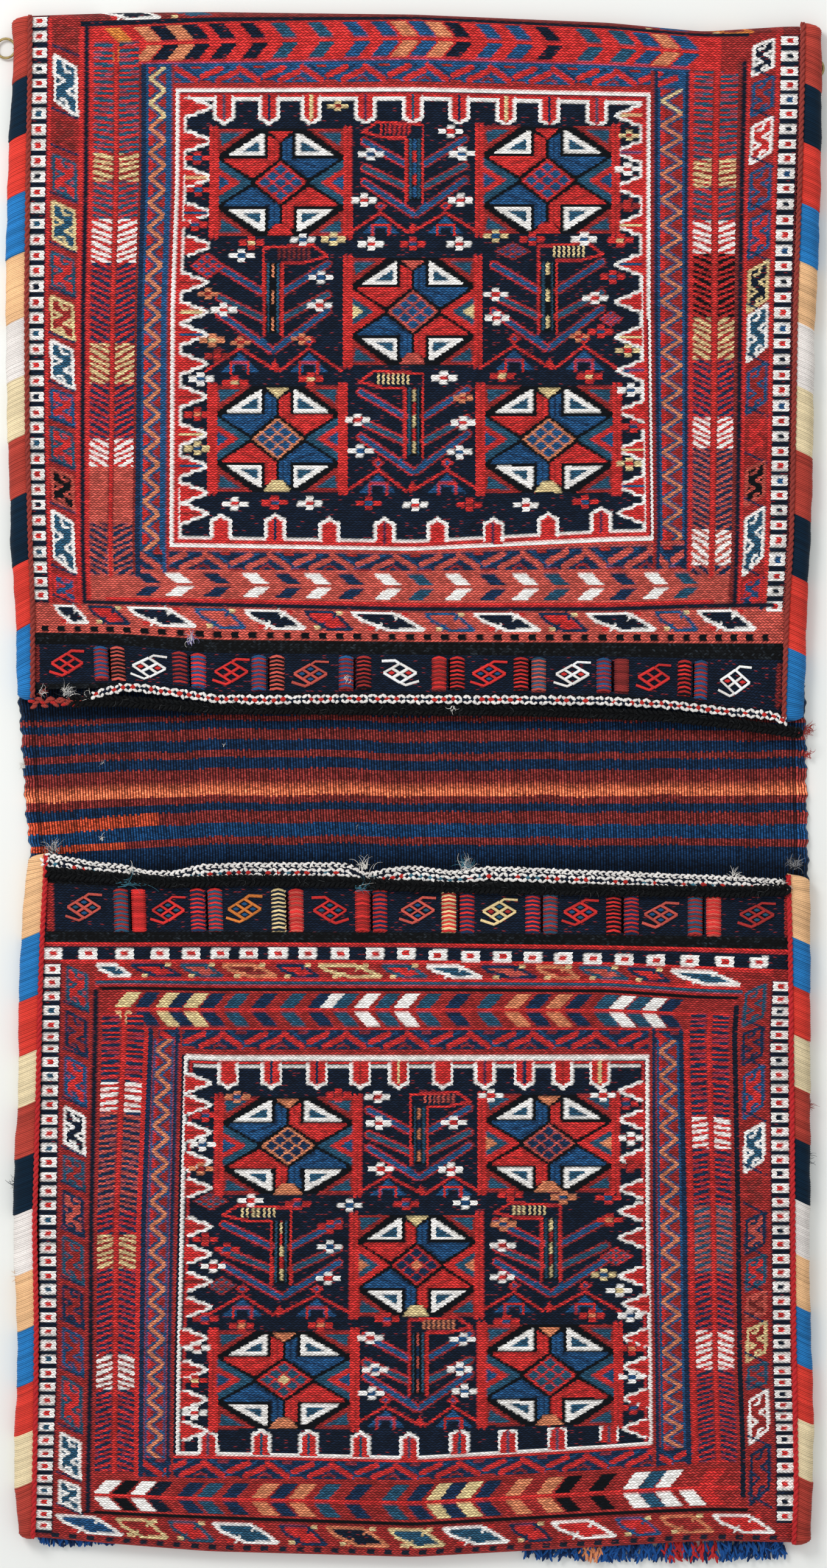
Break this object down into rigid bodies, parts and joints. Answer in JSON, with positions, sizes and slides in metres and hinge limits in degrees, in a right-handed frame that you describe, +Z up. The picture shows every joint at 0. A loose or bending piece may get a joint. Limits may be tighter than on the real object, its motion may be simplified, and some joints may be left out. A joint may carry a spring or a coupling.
{
  "type": "kilim saddle bag",
  "caption": "Double saddle bag: a woven wool strip folded into flat pouches at both ends, with wrapped side bindings, slit closures, plaited mouth cords and sewn-on brass rings.",
  "frame": {"origin": "centre of the whole bag seen from above, on the surface that it lies on", "axes": "+Y along the bag towards the fold of the pouch with the rings, +Z up through the faces, +X to the right seen from above"},
  "size_m": [0.5676, 1.059, 0.0167],
  "materials": {
    "woven_cloth": "matt wool, soumak and plain weave",
    "terracotta_yarn": "matt overcast wool",
    "navy_yarn": "matt overcast wool",
    "red_yarn": "matt overcast wool",
    "blue_yarn": "matt overcast wool",
    "peach_yarn": "matt overcast wool",
    "white_yarn": "matt overcast wool",
    "cream_yarn": "matt overcast wool",
    "rust_cord": "matt twisted wool",
    "red_cord": "matt twisted wool",
    "goat_hair": "wiry black goat hair",
    "twined_yarn": "twined cotton and wool",
    "sewing_thread": "twisted thread",
    "brass_wire": "worn brass",
    "pile_wool": "cut wool pile"
  },
  "bodies": {
    "bag": {"fold_pile": "pile_wool", "mouth_cord_lower": "goat_hair", "mouth_cord_upper": "goat_hair", "ring_loop_left": "sewing_thread", "ring_loop_right": "sewing_thread", "seam_cord_lower_left": "red_cord", "seam_cord_lower_right": "red_cord", "seam_cord_upper_left": "rust_cord", "seam_cord_upper_right": "rust_cord", "twined_edge_lower": "twined_yarn", "twined_edge_upper": "twined_yarn", "woven_strip": "woven_cloth", "wrap_lower_left_01_peach": "peach_yarn", "wrap_lower_left_02_blue": "blue_yarn", "wrap_lower_left_03_red": "red_yarn", "wrap_lower_left_04_cream": "cream_yarn", "wrap_lower_left_05_terracotta": "terracotta_yarn", "wrap_lower_left_06_navy": "navy_yarn", "wrap_lower_left_07_white": "white_yarn", "wrap_lower_left_08_peach": "peach_yarn", "wrap_lower_left_09_blue": "blue_yarn", "wrap_lower_left_10_red": "red_yarn", "wrap_lower_left_11_cream": "cream_yarn", "wrap_lower_left_12_terracotta": "terracotta_yarn", "wrap_lower_right_01_peach": "peach_yarn", "wrap_lower_right_02_blue": "blue_yarn", "wrap_lower_right_03_red": "red_yarn", "wrap_lower_right_04_cream": "cream_yarn", "wrap_lower_right_05_terracotta": "terracotta_yarn", "wrap_lower_right_06_navy": "navy_yarn", "wrap_lower_right_07_white": "white_yarn", "wrap_lower_right_08_peach": "peach_yarn", "wrap_lower_right_09_blue": "blue_yarn", "wrap_lower_right_10_red": "red_yarn", "wrap_lower_right_11_cream": "cream_yarn", "wrap_lower_right_12_terracotta": "terracotta_yarn", "wrap_upper_left_01_terracotta": "terracotta_yarn", "wrap_upper_left_02_navy": "navy_yarn", "wrap_upper_left_03_red": "red_yarn", "wrap_upper_left_04_blue": "blue_yarn", "wrap_upper_left_05_peach": "peach_yarn", "wrap_upper_left_06_white": "white_yarn", "wrap_upper_left_07_cream": "cream_yarn", "wrap_upper_left_08_terracotta": "terracotta_yarn", "wrap_upper_left_09_navy": "navy_yarn", "wrap_upper_left_10_red": "red_yarn", "wrap_upper_left_11_blue": "blue_yarn", "wrap_upper_right_01_terracotta": "terracotta_yarn", "wrap_upper_right_02_navy": "navy_yarn", "wrap_upper_right_03_red": "red_yarn", "wrap_upper_right_04_blue": "blue_yarn", "wrap_upper_right_05_peach": "peach_yarn", "wrap_upper_right_06_white": "white_yarn", "wrap_upper_right_07_cream": "cream_yarn", "wrap_upper_right_08_terracotta": "terracotta_yarn", "wrap_upper_right_09_navy": "navy_yarn", "wrap_upper_right_10_red": "red_yarn", "wrap_upper_right_11_blue": "blue_yarn"},
    "left_ring": {"ring_left": "brass_wire"},
    "right_ring": {"ring_right": "brass_wire"}
  },
  "joints": [
    {"name": "left_ring_swing", "type": "hinge", "parent": "bag", "child": "left_ring", "pos_m": [-0.2697, 0.5067, 0.0023], "axis": [0, 1, 0], "range_deg": [-120, 0]},
    {"name": "right_ring_swing", "type": "hinge", "parent": "bag", "child": "right_ring", "pos_m": [0.2697, 0.493, 0.0023], "axis": [0, -1, 0], "range_deg": [-120, 0]}
  ]
}
